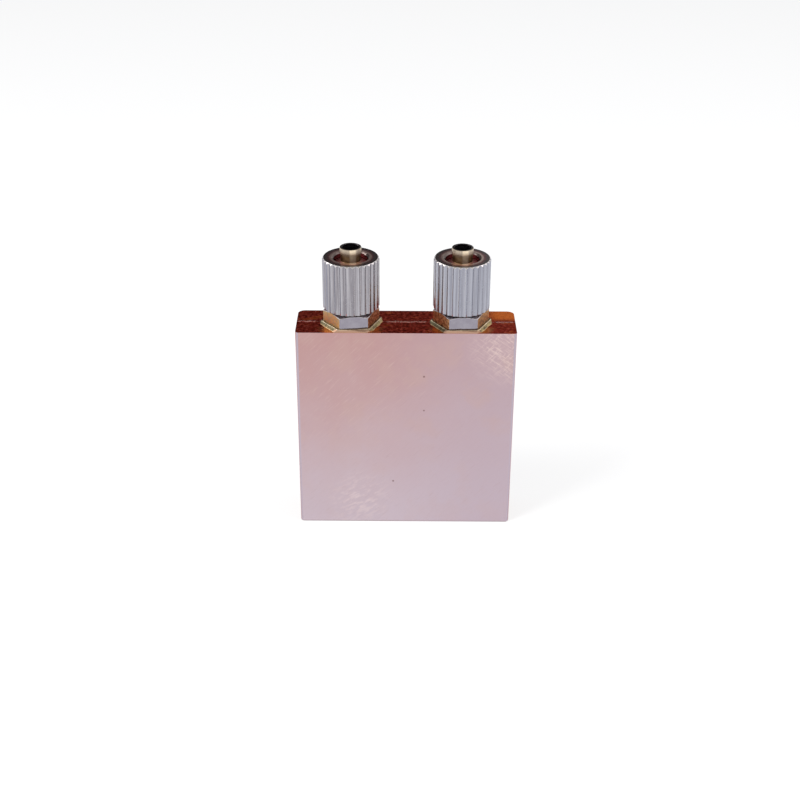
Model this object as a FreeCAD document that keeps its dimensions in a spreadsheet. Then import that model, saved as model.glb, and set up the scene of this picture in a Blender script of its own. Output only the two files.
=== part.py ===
import FreeCAD, Part
import math
import os
import Sketcher
from FreeCAD import Placement, Rotation, Vector

# Copper liquid cold plate, brazed from two milled halves, with two hose fittings.
#
# Frame: the origin is the middle of the block's bottom edge face, +Z points up to the
# ports, -Y is the polished contact face and +X runs from the inlet to the outlet.
# All sizes are millimetres, kept in the spreadsheet "Sizes".

SIZES = [
    # The copper block
    ("block_width", 40.0, "Block, along X"),
    ("block_height", 40.0, "Block, along Z"),
    ("block_depth", 10.0, "Block over both faces, along Y"),
    ("seam_gap", 0.1, "Braze film between the two halves"),
    ("front_edge_radius", 0.6, "Upright edges of the contact face"),
    ("rear_edge_radius", 1.3, "Upright edges of the rear face"),
    ("bottom_chamfer", 0.25, "Bottom edges of both faces"),
    ("bead_width", 0.7, "Braze bead across the seam"),
    ("bead_height", 0.12, "Braze bead above the top edge"),
    # The coolant path inside it
    ("face_wall", 2.0, "Copper left behind each face"),
    ("side_wall", 3.4, "Copper left at the sides and bottom"),
    ("partition", 2.8, "Wall between the down and up legs"),
    ("manifold_height", 3.5, "Cross channels, along Z"),
    ("slot_width", 1.2, "Channel between two fins"),
    ("fin_width", 0.8, "Fin between two channels"),
    ("port_spacing", 20.0, "Centre to centre of the ports"),
    ("port_depth", 6.0, "Port bore down to the manifold"),
    ("braze_clearance", 0.05, "Radial gap round a brazed shank"),
    # The turned fittings
    ("shank_diameter", 6.0, "Part brazed into the port"),
    ("shank_length", 5.5, "Shank below the hexagon"),
    ("bore_diameter", 3.0, "Coolant way through the fitting"),
    ("hex_margin", 0.5, "Top edge left in front of and behind the hexagon"),
    ("hex_height", 2.9, "Hexagon along Z"),
    ("hex_crown", 0.35, "Height lost at the hexagon's top corners"),
    ("inlet_turn", 8.0, "Hexagon of the inlet, turned about Z"),
    ("outlet_turn", 3.0, "Hexagon of the outlet, turned about Z"),
    ("relief_diameter", 6.9, "Undercut below the thread"),
    ("relief_length", 0.5, "Undercut along Z"),
    ("thread_diameter", 8.0, "Outside of the thread in the nut"),
    ("thread_clearance", 0.08, "Radial play of the nut on the thread"),
    ("thread_length", 5.2, "Thread along Z"),
    ("thread_chamfer", 0.35, "Chamfers where the thread starts and ends"),
    ("cone_length", 0.7, "Clamping cone along Z"),
    ("cone_drop", 0.1, "Top of the cone below the nut's top"),
    ("neck_diameter", 3.6, "Spigot below its lip"),
    ("lip_diameter", 3.9, "Spigot lip, for a hose of 4 mm bore"),
    ("lip_length", 0.9, "Straight part of the lip"),
    ("lip_taper", 1.0, "Taper from the neck to the lip"),
    ("lip_chamfer", 0.1, "Outer edge of the spigot's mouth"),
    ("spigot_reach", 1.95, "Spigot above the nut"),
    # The knurled nuts
    ("nut_diameter", 10.3, "Nut over its ridges"),
    ("nut_height", 9.4, "Nut along Z"),
    ("nut_gap", 0.38, "Nut above the hexagon"),
    ("nut_edge", 0.25, "Chamfer round the nut's top"),
    ("nut_lead", 0.3, "Chamfer at the mouth of its thread"),
    ("nut_thread_depth", 6.4, "Threaded length of its bore"),
    ("nut_cone_length", 0.9, "Inner cone along Z"),
    ("hose_diameter", 6.0, "Hose that passes through the nut"),
    ("hose_clearance", 0.1, "Radial gap round the hose"),
    ("hose_chamfer", 0.3, "Chamfer at the mouth of the hose hole"),
    ("flute_count", 30.0, "Flutes round the nut"),
    ("flute_width", 0.9, "Flute across its mouth"),
    ("flute_depth", 0.24, "Flute below the ridges"),
    # The braze fillets round the hexagons
    ("fillet_reach", 0.9, "Fillet beyond the flats, on the copper"),
    ("fillet_shoulder", 0.25, "Level part of the fillet, round its top"),
    ("fillet_height", 0.65, "Fillet up the flats"),
    ("fillet_inset", 0.05, "Fillet inside the block's faces"),
]

ROOT3 = math.sqrt(3.0)
EPS = 1e-6

doc = FreeCAD.newDocument("cold_plate")
sheet = doc.addObject("Spreadsheet::Sheet", "Sizes")
for row, (alias, amount, meaning) in enumerate(SIZES, start=1):
    sheet.set(f"A{row}", meaning)
    sheet.set(f"B{row}", str(amount))
    sheet.setAlias(f"B{row}", alias)
doc.recompute()


class Size:
    """A size as it is now, with the spreadsheet expression that it follows."""

    def __init__(self, value, text):
        self.value = float(value)
        self.text = text

    def __add__(self, other):
        other = as_size(other)
        return Size(self.value + other.value, f"({self.text} + {other.text})")

    def __sub__(self, other):
        other = as_size(other)
        return Size(self.value - other.value, f"({self.text} - {other.text})")

    def __mul__(self, other):
        other = as_size(other)
        return Size(self.value * other.value, f"({self.text} * {other.text})")

    def __truediv__(self, other):
        other = as_size(other)
        return Size(self.value / other.value, f"({self.text} / {other.text})")

    def __neg__(self):
        return Size(-self.value, f"(0 - {self.text})")


def as_size(item):
    """The item itself, or a bare number as a constant Size."""
    return item if isinstance(item, Size) else Size(item, f"{float(item):.9f}")


def size(alias):
    return Size(getattr(sheet, alias), f"Sizes.{alias}")


ZERO = as_size(0.0)

# Sizes that several pieces share, worked out from the driving ones
block_width = size("block_width")
block_height = size("block_height")
block_depth = size("block_depth")
seam_gap = size("seam_gap")
plate_thickness = (block_depth - seam_gap) / 2
port_x = size("port_spacing") / 2
shank_radius = size("shank_diameter") / 2
port_radius = shank_radius + size("braze_clearance")
bore_radius = size("bore_diameter") / 2
hex_flats = block_depth - size("hex_margin") * 2
hex_corner = hex_flats / ROOT3
thread_start = size("hex_height") + size("relief_length")
thread_end = thread_start + size("thread_length")
nut_base = size("hex_height") + size("nut_gap")
spigot_top = nut_base + size("nut_height") + size("spigot_reach")
fillet_corner = (hex_flats + size("fillet_reach") * 2) / ROOT3
shoulder_corner = (hex_flats + size("fillet_shoulder") * 2) / ROOT3


# ---------------------------------------------------------------- sketches

def new_body(label):
    body = doc.addObject("PartDesign::Body", label)
    body.Label = label
    return body


def sketch_on(body, name, role, offset=ZERO):
    """A sketch on one of the body's origin planes, moved along the plane's normal."""
    plane = next(item for item in body.Origin.OriginFeatures if item.Role == role)
    sketch = body.newObject("Sketcher::SketchObject", name)
    sketch.AttachmentSupport = (plane, [""])
    sketch.MapMode = "FlatFace"
    sketch.setExpression("AttachmentOffset.Base.z", offset.text)
    return sketch


def dimension(sketch, kind, where, length):
    """A dimension that follows the spreadsheet."""
    index = sketch.addConstraint(Sketcher.Constraint(kind, *where, length.value))
    sketch.setExpression(f"Constraints[{index}]", length.text)


def place(sketch, element, point, across, up):
    """Ties a point of an element to the sketch's origin in both directions."""
    dimension(sketch, "DistanceX", (-1, 1, element, point), across)
    dimension(sketch, "DistanceY", (-1, 1, element, point), up)


def polygon(sketch, corners):
    """A closed outline of straight lines through the corners."""
    spots = [Vector(across.value, up.value, 0) for across, up in corners]
    followers = spots[1:] + spots[:1]
    lines = [sketch.addGeometry(Part.LineSegment(a, b)) for a, b in zip(spots, followers)]
    for line, follower in zip(lines, lines[1:] + lines[:1]):
        sketch.addConstraint(Sketcher.Constraint("Coincident", line, 2, follower, 1))
    for line, (across, up) in zip(lines, corners):
        place(sketch, line, 1, across, up)


def rectangle(sketch, left, bottom, right, top):
    polygon(sketch, [(left, bottom), (right, bottom), (right, top), (left, top)])


def circle(sketch, across, up, radius):
    centre = Vector(across.value, up.value, 0)
    index = sketch.addGeometry(Part.Circle(centre, Vector(0, 0, 1), radius.value))
    place(sketch, index, 3, across, up)
    dimension(sketch, "Radius", (index,), radius)


def hexagon(sketch, corner):
    """A hexagon with its corners on the X axis and two flats across Y."""
    steps = [(1, 0), (0.5, 0.5), (-0.5, 0.5), (-1, 0), (-0.5, -0.5), (0.5, -0.5)]
    polygon(sketch, [(corner * along, corner * (across * ROOT3)) for along, across in steps])


def round_ended(sketch, left, right, middle, radius):
    """A level slot with half-round ends, as an end mill leaves it."""
    ends = [(right - radius, -90, 90), (left + radius, 90, 270)]
    arcs = []
    for across, start, stop in ends:
        rim = Part.Circle(Vector(across.value, middle.value, 0), Vector(0, 0, 1), radius.value)
        arc = Part.ArcOfCircle(rim, math.radians(start), math.radians(stop))
        arcs.append(sketch.addGeometry(arc))
        place(sketch, arcs[-1], 3, across, middle)
        dimension(sketch, "Radius", (arcs[-1],), radius)
    for arc, follower in (arcs, arcs[::-1]):
        start = sketch.getPoint(arc, 2)
        stop = sketch.getPoint(follower, 1)
        line = sketch.addGeometry(Part.LineSegment(start, stop))
        sketch.addConstraint(Sketcher.Constraint("Tangent", arc, 2, line, 1))
        sketch.addConstraint(Sketcher.Constraint("Tangent", line, 2, follower, 1))


def dome(sketch, half_width, base, rise):
    """A low arc over a level line, for the section of a bead."""
    radius = (half_width * half_width + rise * rise) / (rise * 2)
    left = Vector(-half_width.value, base.value, 0)
    top = Vector(0, (base + rise).value, 0)
    right = Vector(half_width.value, base.value, 0)
    arc = sketch.addGeometry(Part.Arc(right, top, left))
    line = sketch.addGeometry(Part.LineSegment(left, right))
    sketch.addConstraint(Sketcher.Constraint("Coincident", arc, 2, line, 1))
    sketch.addConstraint(Sketcher.Constraint("Coincident", line, 2, arc, 1))
    place(sketch, line, 1, -half_width, base)
    place(sketch, line, 2, half_width, base)
    dimension(sketch, "Radius", (arc,), radius)


# ---------------------------------------------------------------- features

def feature(body, kind, name, **settings):
    """Adds a PartDesign feature, tying each Size among its settings to the sheet."""
    made = body.newObject(f"PartDesign::{kind}", name)
    for setting, amount in settings.items():
        if isinstance(amount, Size):
            made.setExpression(setting, amount.text)
        else:
            setattr(made, setting, amount)
    doc.recompute()
    return made


def cut(body, kind, name, **settings):
    """A feature that has to take material away."""
    before = body.Shape.Volume
    made = feature(body, kind, name, **settings)
    if body.Shape.Volume > before - EPS:
        raise RuntimeError(f"{name} cuts nothing")
    return made


def repeat(body, kind, name, original, **settings):
    """A pattern of one feature, which becomes the body's result."""
    pattern = feature(body, kind, name, Originals=[original], **settings)
    body.Tip = pattern
    doc.recompute()
    return pattern


def dress(body, kind, name, base, chosen, **settings):
    """A fillet or chamfer on the edges of a feature that the test chooses."""
    edges = [f"Edge{n}" for n, edge in enumerate(base.Shape.Edges, start=1) if chosen(edge)]
    return feature(body, kind, name, Base=(base, edges), **settings)


def turned(body, name, profile):
    """A piece turned on a lathe, from (radius, height) corners of its half section."""
    sketch = sketch_on(body, f"{name}_profile", "XZ_Plane")
    polygon(sketch, profile)
    return feature(body, "Revolution", name, Profile=sketch, Angle=360.0,
                   ReferenceAxis=(sketch, ["V_Axis"]))


# ---------------------------------------------------------------- copper halves

half_width = block_width / 2
leg_outer = half_width - size("side_wall")
leg_inner = size("partition") / 2
lower_middle = size("side_wall") + size("manifold_height") / 2
upper_middle = block_height - size("port_depth") - size("manifold_height") / 2


def mill_manifolds(body, offset, **settings):
    """The cross channels: one under each port, and one that joins both legs."""
    sketch = sketch_on(body, f"{body.Label}_manifolds_sketch", "XZ_Plane", offset)
    radius = size("manifold_height") / 2
    round_ended(sketch, -leg_outer, -leg_inner, upper_middle, radius)
    round_ended(sketch, leg_inner, leg_outer, upper_middle, radius)
    round_ended(sketch, -leg_outer, leg_outer, lower_middle, radius)
    return cut(body, "Pocket", f"{body.Label}_manifolds", Profile=sketch, **settings)


def mill_slots(body, offset, **settings):
    """The narrow channels that leave fins between them, down one leg and up the other."""
    sketch = sketch_on(body, f"{body.Label}_slots_sketch", "XZ_Plane", offset)
    slot = size("slot_width")
    pitch = slot + size("fin_width")
    for left in (-leg_outer, leg_inner):
        rectangle(sketch, left, lower_middle, left + slot, upper_middle)
    first = cut(body, "Pocket", f"{body.Label}_slots", Profile=sketch, **settings)
    room = (leg_outer - leg_inner + size("fin_width")) / pitch
    count = Size(math.floor(room.value + EPS), f"floor({room.text} + {EPS:.6f})")
    return repeat(body, "LinearPattern", f"{body.Label}_slot_row", first,
                  Direction=(sketch, ["H_Axis"]), Length=pitch * (count - 1),
                  Occurrences=count)


def bore_ports(body, radius, depth, reverse=False):
    """Round cuts at both ports, down from the top edge, or up from it if reversed."""
    name = f"{body.Label}_{'feet' if reverse else 'ports'}"
    sketch = sketch_on(body, f"{name}_sketch", "XY_Plane", block_height)
    for across in (-port_x, port_x):
        circle(sketch, across, ZERO, radius)
    return cut(body, "Pocket", name, Profile=sketch, Length=depth, Reversed=reverse)


def plate(label, facing, edge_radius):
    """One copper half: facing is -1 for the contact side at -Y and 1 for the rear."""
    body = new_body(label)
    offset = seam_gap * (-facing) / 2
    outline = sketch_on(body, f"{label}_outline", "XZ_Plane", offset)
    rectangle(outline, -half_width, ZERO, half_width, block_height)
    blank = feature(body, "Pad", f"{label}_blank", Profile=outline,
                    Length=plate_thickness, Reversed=facing > 0)
    outer_y = facing * block_depth.value / 2

    def on_face(edge):
        return all(abs(spot.Point.y - outer_y) < EPS for spot in edge.Vertexes)

    def upright(edge):
        sides = [abs(abs(spot.Point.x) - half_width.value) < EPS for spot in edge.Vertexes]
        low, high = sorted(spot.Point.z for spot in edge.Vertexes)
        return on_face(edge) and all(sides) and high - low > EPS

    def lowest(edge):
        return on_face(edge) and all(spot.Point.z < EPS for spot in edge.Vertexes)

    rounded = dress(body, "Fillet", f"{label}_upright_edges", blank, upright,
                    Radius=edge_radius)
    dress(body, "Chamfer", f"{label}_bottom_edge", rounded, lowest,
          Size=size("bottom_chamfer"))
    pocket = {"Length": plate_thickness - size("face_wall"), "Reversed": facing < 0}
    mill_manifolds(body, offset, **pocket)
    mill_slots(body, offset, **pocket)
    bore_ports(body, port_radius, size("port_depth"))
    return body


def braze_seam(label):
    """The braze between the halves and round both shanks, with its bead along the top."""
    body = new_body(label)
    offset = seam_gap / 2
    outline = sketch_on(body, f"{label}_outline", "XZ_Plane", offset)
    rectangle(outline, -half_width, ZERO, half_width, block_height)
    feature(body, "Pad", f"{label}_film", Profile=outline, Length=seam_gap, Reversed=True)
    mill_manifolds(body, offset, Type="ThroughAll")
    windows = sketch_on(body, f"{label}_windows_sketch", "XZ_Plane", offset)
    for left, right in ((-leg_outer, -leg_inner), (leg_inner, leg_outer)):
        rectangle(windows, left, lower_middle, right, upper_middle)
    cut(body, "Pocket", f"{label}_windows", Profile=windows, Type="ThroughAll")
    bore_ports(body, port_radius, size("port_depth"))
    sleeves = sketch_on(body, f"{label}_sleeves_sketch", "XY_Plane", block_height)
    for across in (-port_x, port_x):
        circle(sleeves, across, ZERO, port_radius)
        circle(sleeves, across, ZERO, shank_radius)
    feature(body, "Pad", f"{label}_sleeves", Profile=sleeves, Reversed=True,
            Length=size("shank_length"))
    section = sketch_on(body, f"{label}_bead_sketch", "YZ_Plane")
    dome(section, size("bead_width") / 2, block_height, size("bead_height"))
    feature(body, "Pad", f"{label}_bead", Profile=section, Midplane=True,
            Length=block_width - size("front_edge_radius"))
    bore_ports(body, fillet_corner + size("braze_clearance"), size("bead_height") * 2, True)
    return body


# ---------------------------------------------------------------- fittings and nuts

def set_on_port(body, side, height, turn=None):
    """Stands a piece over a port: side is -1 for the inlet and 1 for the outlet."""
    body.setExpression("Placement.Base.x", (port_x * side).text)
    body.setExpression("Placement.Base.z", (block_height + height).text)
    if turn:
        body.Placement = Placement(Vector(), Rotation(Vector(0, 0, 1), turn.value))
        body.setExpression("Placement.Rotation.Angle", turn.text)


def fitting(label, side, turn):
    """A compression fitting turned from hexagon bar: shank, hexagon, thread and spigot."""
    body = new_body(label)
    relief = size("relief_diameter") / 2
    crest = size("thread_diameter") / 2 - size("thread_clearance")
    lead = size("thread_chamfer")
    head = size("hose_diameter") / 2
    cone_top = nut_base + size("nut_height") - size("cone_drop")
    neck = size("neck_diameter") / 2
    lip = size("lip_diameter") / 2
    lip_start = spigot_top - size("lip_length")
    edge = size("lip_chamfer")
    turned(body, f"{label}_turned", [
        (bore_radius, -size("shank_length")),
        (shank_radius, -size("shank_length")),
        (shank_radius, ZERO),
        (relief, ZERO),
        (relief, thread_start),
        (crest - lead, thread_start),
        (crest, thread_start + lead),
        (crest, thread_end - lead),
        (crest - lead, thread_end),
        (head, thread_end),
        (head, cone_top - size("cone_length")),
        (neck, cone_top),
        (neck, lip_start - size("lip_taper")),
        (lip, lip_start),
        (lip, spigot_top - edge),
        (lip - edge, spigot_top),
        (bore_radius, spigot_top),
    ])

    outline = sketch_on(body, f"{label}_hexagon_sketch", "XY_Plane")
    hexagon(outline, hex_corner)
    circle(outline, ZERO, ZERO, bore_radius)
    feature(body, "Pad", f"{label}_hexagon", Profile=outline, Length=size("hex_height"))
    crown = sketch_on(body, f"{label}_crown_sketch", "XZ_Plane")
    crown_start = hex_flats / 2
    top = size("hex_height")
    polygon(crown, [
        (crown_start, top),
        (hex_corner * 2 - crown_start, top - size("hex_crown") * 2),
        (hex_corner * 2 - crown_start, top + size("hex_crown")),
        (crown_start, top + size("hex_crown")),
    ])
    cut(body, "Groove", f"{label}_crown", Profile=crown, Angle=360.0,
        ReferenceAxis=(crown, ["V_Axis"]))
    set_on_port(body, side, ZERO, turn)
    return body


def nut(label, side):
    """A knurled compression nut: fluted outside, threaded and coned inside."""
    body = new_body(label)
    outer = size("nut_diameter") / 2
    top = size("nut_height")
    edge = size("nut_edge")
    bore = size("thread_diameter") / 2
    lead = size("nut_lead")
    hole = size("hose_diameter") / 2 + size("hose_clearance")
    mouth = size("hose_chamfer")
    cone_start = size("nut_thread_depth")
    cone_end = cone_start + size("nut_cone_length")
    turned(body, f"{label}_turned", [
        (bore + lead, ZERO),
        (outer, ZERO),
        (outer, top - edge),
        (outer - edge, top),
        (hole + mouth, top),
        (hole, top - mouth),
        (hole, cone_end),
        (bore, cone_start),
        (bore, lead),
    ])
    mouth_half = size("flute_width") / 2
    depth = size("flute_depth")
    radius = (mouth_half * mouth_half + depth * depth) / (depth * 2)
    flute = sketch_on(body, f"{label}_flute_sketch", "XY_Plane")
    circle(flute, ZERO, depth - radius - outer, radius)
    first = cut(body, "Pocket", f"{label}_flute", Profile=flute, Type="ThroughAll",
                Reversed=True)
    repeat(body, "PolarPattern", f"{label}_knurl", first, Axis=(flute, ["N_Axis"]),
           Angle=360.0, Occurrences=size("flute_count"))
    set_on_port(body, side, nut_base)
    return body


def hexagon_prism(name, corner, side, turn, height):
    prism = doc.addObject("Part::Prism", name)
    prism.Polygon = 6
    prism.setExpression("Circumradius", corner.text)
    prism.setExpression("Height", height.text)
    set_on_port(prism, side, ZERO, turn)
    return prism


def braze_fillet(label, side, turn):
    """The collar of braze round a hexagon's foot: a level shoulder, then a slope."""
    rings = []
    levels = ((fillet_corner, ZERO), (shoulder_corner, size("fillet_height")))
    for number, (corner, height) in enumerate(levels):
        ring = doc.addObject("Part::RegularPolygon", f"{label}_ring_{number}")
        ring.Polygon = 6
        ring.setExpression("Circumradius", corner.text)
        set_on_port(ring, side, height, turn)
        rings.append(ring)
    slope = doc.addObject("Part::Loft", f"{label}_slope")
    slope.Sections = rings
    slope.Solid = True
    slope.Ruled = True
    depth = block_depth - size("fillet_inset") * 2
    room = doc.addObject("Part::Box", f"{label}_room")
    room.setExpression("Length", (fillet_corner * 2).text)
    room.setExpression("Width", depth.text)
    room.setExpression("Height", size("fillet_height").text)
    room.setExpression("Placement.Base.x", (port_x * side - fillet_corner).text)
    room.setExpression("Placement.Base.y", (-depth / 2).text)
    room.setExpression("Placement.Base.z", block_height.text)
    trimmed = doc.addObject("Part::Common", f"{label}_trimmed")
    trimmed.Base = slope
    trimmed.Tool = room
    core = hexagon_prism(f"{label}_core", hex_corner, side, turn, size("fillet_height"))
    fillet = doc.addObject("Part::Cut", label)
    fillet.Base = trimmed
    fillet.Tool = core
    fillet.Label = label
    return fillet


# ---------------------------------------------------------------- the cold plate

pieces = [
    plate("front_plate", -1, size("front_edge_radius")),
    plate("rear_plate", 1, size("rear_edge_radius")),
    braze_seam("braze_seam"),
]
for name, side in (("inlet", -1), ("outlet", 1)):
    turn = size(f"{name}_turn")
    pieces.append(fitting(f"{name}_fitting", side, turn))
    pieces.append(braze_fillet(f"{name}_fillet", side, turn))
    pieces.append(nut(f"{name}_nut", side))

doc.recompute()
for item in doc.Objects:
    if "Invalid" in item.State or "Error" in item.State:
        raise RuntimeError(f"{item.Label} did not rebuild")
for piece in pieces:
    if piece.Shape.isNull() or not piece.Shape.isValid():
        raise RuntimeError(f"{piece.Label} is not a valid shape")

os.makedirs("parts", exist_ok=True)
for piece in pieces:
    piece.Shape.exportStep(f"parts/{piece.Label}.step")
    print(piece.Label, len(piece.Shape.Solids), f"{piece.Shape.Volume:.3f} mm3")
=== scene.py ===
import math
import random

import bpy
from mathutils import Matrix, Vector, noise


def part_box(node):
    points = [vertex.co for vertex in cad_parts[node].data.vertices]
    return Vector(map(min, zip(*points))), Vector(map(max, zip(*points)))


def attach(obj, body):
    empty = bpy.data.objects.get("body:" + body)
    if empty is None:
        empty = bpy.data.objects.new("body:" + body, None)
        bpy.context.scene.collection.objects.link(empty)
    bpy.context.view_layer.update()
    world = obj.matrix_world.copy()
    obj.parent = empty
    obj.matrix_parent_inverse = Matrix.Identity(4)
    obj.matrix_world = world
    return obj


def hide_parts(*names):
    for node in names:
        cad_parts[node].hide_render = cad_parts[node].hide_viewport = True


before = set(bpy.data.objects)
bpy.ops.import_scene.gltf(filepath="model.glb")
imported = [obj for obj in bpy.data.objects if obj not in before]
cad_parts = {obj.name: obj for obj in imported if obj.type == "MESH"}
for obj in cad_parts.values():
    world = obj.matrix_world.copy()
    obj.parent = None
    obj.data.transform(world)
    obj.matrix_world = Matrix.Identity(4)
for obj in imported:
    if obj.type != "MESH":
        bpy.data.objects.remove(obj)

# Looks of a small copper cold plate: two brazed halves, two plated hose fittings with
# knurled nuts, the braze that shows, and a pale studio. Sizes are millimetres in the
# frame's axes (+Z up to the ports, -Y the polished face) until a mesh is made.

MM = 0.001
TURN = 2.0 * math.pi

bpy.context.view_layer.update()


# ---------------------------------------------------------------- places from the frame

def box_mm(node):
    """Lowest and highest corner of a CAD node, in millimetres."""
    low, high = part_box(node)
    return Vector(low) / MM, Vector(high) / MM


front_low, front_high = box_mm("front_plate")
rear_low, rear_high = box_mm("rear_plate")
HALF_WIDTH = front_high.x
FRONT = front_low.y
REAR = rear_high.y
TOP = front_high.z
FILM = rear_low.y - front_high.y


class Port:
    """One hose port: where its fitting and nut stand, and how its hexagon is turned."""

    def __init__(self, name, turn_deg, seed):
        self.name = name
        self.turn = math.radians(turn_deg)
        self.seed = seed
        fitting_low, fitting_high = box_mm(f"{name}_fitting")
        nut_low, nut_high = box_mm(f"{name}_nut")
        self.x = (nut_low.x + nut_high.x) / 2
        self.shank_end = fitting_low.z - TOP
        self.tip = fitting_high.z - TOP
        self.nut_base = nut_low.z - TOP
        self.nut_top = nut_high.z - TOP
        self.nut_radius = (nut_high.x - nut_low.x) / 2


PORTS = [Port("inlet", 8.0, 11), Port("outlet", 3.0, 23)]

# Sizes of the pieces, the same as in the part's own solids, but for the cone: it ends
# 0.5 mm lower and is 0.2 mm shorter, so that the spigot's foot shows in the nut's mouth
SHANK_RADIUS = 3.0
PORT_RADIUS = 3.05
PORT_DEPTH = 6.0
SIDE_WALL = 3.4
PARTITION = 2.8
MANIFOLD = 3.5
BORE_RADIUS = 1.5
HEX_HALF = 4.5
HEX_HEIGHT = 2.9
HEX_CROWN = 0.35
HEX_CROWN_MARGIN = 0.12
HEX_CORNER_WEAR = 0.988
RELIEF_RADIUS = 3.45
RELIEF_LENGTH = 0.5
THREAD_RADIUS = 3.92
THREAD_LENGTH = 5.2
THREAD_PITCH = 0.75
THREAD_DEPTH = 0.36
HEAD_RADIUS = 3.0
CONE_LENGTH = 0.5
CONE_DROP = 0.6
NECK_RADIUS = 1.8
LIP_RADIUS = 1.95
LIP_LENGTH = 0.9
LIP_TAPER = 1.0
LIP_CHAMFER = 0.1
NUT_BORE = 4.0
NUT_THREAD_DEPTH = 6.4
NUT_CONE_LENGTH = 0.9
NUT_HOLE = 3.1
NUT_MOUTH = 0.3
NUT_EDGE = 0.25
NUT_LEAD = 0.3
FLUTES = 30
FLUTE_WIDTH = 0.9
FLUTE_DEPTH = 0.24
FILLET_REACH = 0.9
FILLET_SHOULDER = 0.25
FILLET_HEIGHT = 0.65
FILLET_ROUND = 5.7
BEAD_HALF_WIDTH = 0.35
BEAD_HEIGHT = 0.12
TURNED_EDGE = 0.04
EDGE_ROUNDING = 0.14
WELD_WIDTH = 0.002

# Fineness of the meshes: facets round a piece, rings a turn of thread, and bead pitch
TURNED_FACETS = 96
COLLAR_FACETS = 240
FACETS_A_FLUTE = 10
RINGS_A_TURN = 10
NUT_THREAD_RINGS = 48
BEAD_STEP = 0.10
BEAD_FACETS = 8


# ---------------------------------------------------------------- meshes

def mesh_object(name, points_mm, faces, sharp_deg=35.0, foot=(0.0, 0.0, 0.0)):
    """A mesh object in metres at its foot, smooth but for edges sharper than the angle."""
    mesh = bpy.data.meshes.new(name)
    mesh.from_pydata([Vector(point) * MM for point in points_mm], [], faces)
    mesh.validate()
    mesh.shade_smooth()
    mesh.set_sharp_from_angle(angle=math.radians(sharp_deg))
    made = bpy.data.objects.new(name, mesh)
    made.location = Vector(foot) * MM
    bpy.context.scene.collection.objects.link(made)
    return made


def ring_mesh(name, rings, steps, foot, sharp_deg=35.0):
    """A closed surface through rings round an upright axis, the last joined to the first.

    Each ring is a function from an angle to (radius, height above the foot). The rings
    run up the outside and down the bore, so that faces look outwards.
    """
    points = []
    for ring in rings:
        for step in range(steps):
            angle = TURN * step / steps
            radius, height = ring(angle)
            points.append((radius * math.cos(angle), radius * math.sin(angle), height))
    faces = []
    for row in range(len(rings)):
        above = (row + 1) % len(rings)
        for step in range(steps):
            beside = (step + 1) % steps
            faces.append((row * steps + step, row * steps + beside,
                          above * steps + beside, above * steps + step))
    return mesh_object(name, points, faces, sharp_deg, foot)


def circle(radius, height):
    return lambda angle: (radius, height)


def hexagon_radius(angle, turn, half):
    """Distance from the axis to a hexagon's side, with flats across Y before its turn."""
    sector = TURN / 6
    off_flat = (angle - turn) % sector - sector / 2
    return half / math.cos(off_flat)


def thread_ring(height, start, end, outward):
    """A ring of a helical thread of crest radius, cut inwards or outwards."""
    def ring(angle):
        along = ((height - start) / THREAD_PITCH - angle / TURN) % 1.0
        groove = max(0.0, 1.0 - abs(along - 0.5) / 0.42)
        fade = min(1.0, (height - start) / THREAD_PITCH, (end - height) / THREAD_PITCH)
        cut = THREAD_DEPTH * groove * max(0.0, fade)
        return (NUT_BORE + cut if outward else THREAD_RADIUS - cut), height
    return ring


def spaced(start, end, count):
    return [start + (end - start) * index / count for index in range(count + 1)]


def shank_rings(port):
    """The end and side of the part that is brazed into the block."""
    return [circle(BORE_RADIUS, port.shank_end),
            circle(SHANK_RADIUS - TURNED_EDGE, port.shank_end),
            circle(SHANK_RADIUS, port.shank_end + TURNED_EDGE),
            circle(SHANK_RADIUS, 0.0)]


def hexagon_rings(port):
    """The hexagon from its foot up over its crown, with slightly worn corners."""
    corner = HEX_HALF * 2 / math.sqrt(3.0)
    worn_corner = corner * HEX_CORNER_WEAR
    slope = HEX_CROWN / (corner - HEX_HALF)

    def hexagon_ring(height, crown_radius):
        def ring(angle):
            radius = hexagon_radius(angle, port.turn, HEX_HALF)
            return min(radius, worn_corner, crown_radius), height
        return ring

    rings = [hexagon_ring(0.0, corner)]
    for radius in spaced(corner, HEX_HALF - HEX_CROWN_MARGIN, 10):
        drop = slope * (radius - HEX_HALF + HEX_CROWN_MARGIN)
        rings.append(hexagon_ring(HEX_HEIGHT - drop, radius))
    return rings + [circle(HEX_HALF - 0.2, HEX_HEIGHT)]


def fitting_thread_rings():
    """The relief above the hexagon and the thread, chamfered at both ends."""
    start = HEX_HEIGHT + RELIEF_LENGTH
    end = start + THREAD_LENGTH
    root = THREAD_RADIUS - THREAD_DEPTH
    first, last = start + THREAD_DEPTH, end - THREAD_DEPTH
    turns = THREAD_LENGTH / THREAD_PITCH
    levels = spaced(first, last, round(turns * RINGS_A_TURN))[1:-1]
    return [circle(RELIEF_RADIUS + TURNED_EDGE, HEX_HEIGHT),
            circle(RELIEF_RADIUS, HEX_HEIGHT + TURNED_EDGE),
            circle(RELIEF_RADIUS, start),
            circle(root, start),
            circle(THREAD_RADIUS, first),
            *[thread_ring(level, first, last, False) for level in levels],
            circle(THREAD_RADIUS, last),
            circle(root, end),
            circle(HEAD_RADIUS + TURNED_EDGE, end),
            circle(HEAD_RADIUS, end + TURNED_EDGE)]


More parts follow.
